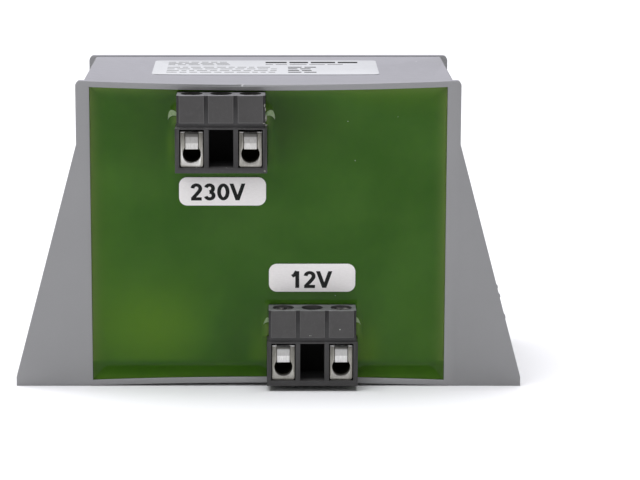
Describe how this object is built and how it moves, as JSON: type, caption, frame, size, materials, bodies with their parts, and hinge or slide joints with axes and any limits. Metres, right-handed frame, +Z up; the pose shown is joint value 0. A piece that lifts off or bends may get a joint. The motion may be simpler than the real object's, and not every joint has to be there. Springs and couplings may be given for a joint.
{
  "type": "encapsulated transformer",
  "caption": "Potted mains transformer in a footed open-front plastic tray, with screw terminal blocks for input and output set in the resin face and slotted feet.",
  "frame": {"origin": "centre of the four-slot mounting pattern, on the mounting face under the feet", "axes": "+Z up from the mounting face, +X to the right along the open front, +Y from the open front to the closed back"},
  "size_m": [0.088, 0.0403, 0.0537],
  "materials": {
    "tray_plastic": "mid grey moulded thermoplastic, fine satin texture",
    "resin": "glossy green casting resin",
    "label": "white sticker with grey print",
    "terminal_plastic": "dark grey moulded polyamide",
    "nickel": "nickel plated, satin",
    "zinc_screw": "zinc plated",
    "laminations": "silicon steel sheets, dull",
    "bobbin_nylon": "natural polyamide",
    "magnet_wire": "enamelled copper wire, layer wound",
    "tape": "yellow polyester tape",
    "fuse": "moulded thermal cut-out",
    "lead_black": "black insulated lead",
    "lead_red": "red insulated lead"
  },
  "bodies": {
    "root": {"housing": "tray_plastic", "potting_resin": "resin", "nameplate": "label", "input_label": "label", "output_label": "label", "input_terminal_body": "terminal_plastic", "output_terminal_body": "terminal_plastic", "input_clamp_left": "nickel", "input_clamp_right": "nickel", "output_clamp_left": "nickel", "output_clamp_right": "nickel", "input_guard_left": "nickel", "input_guard_right": "nickel", "output_guard_left": "nickel", "output_guard_right": "nickel", "input_screw_left": "zinc_screw", "input_screw_right": "zinc_screw", "output_screw_left": "zinc_screw", "output_screw_right": "zinc_screw", "core_e_stack": "laminations", "core_i_stack": "laminations", "bobbin": "bobbin_nylon", "primary_winding": "magnet_wire", "secondary_winding": "magnet_wire", "primary_tape": "tape", "secondary_tape": "tape", "thermal_fuse": "fuse", "input_lead_left": "lead_black", "input_lead_right": "lead_black", "fuse_lead": "lead_black", "output_lead_left": "lead_red", "output_lead_right": "lead_red"}
  },
  "joints": []
}
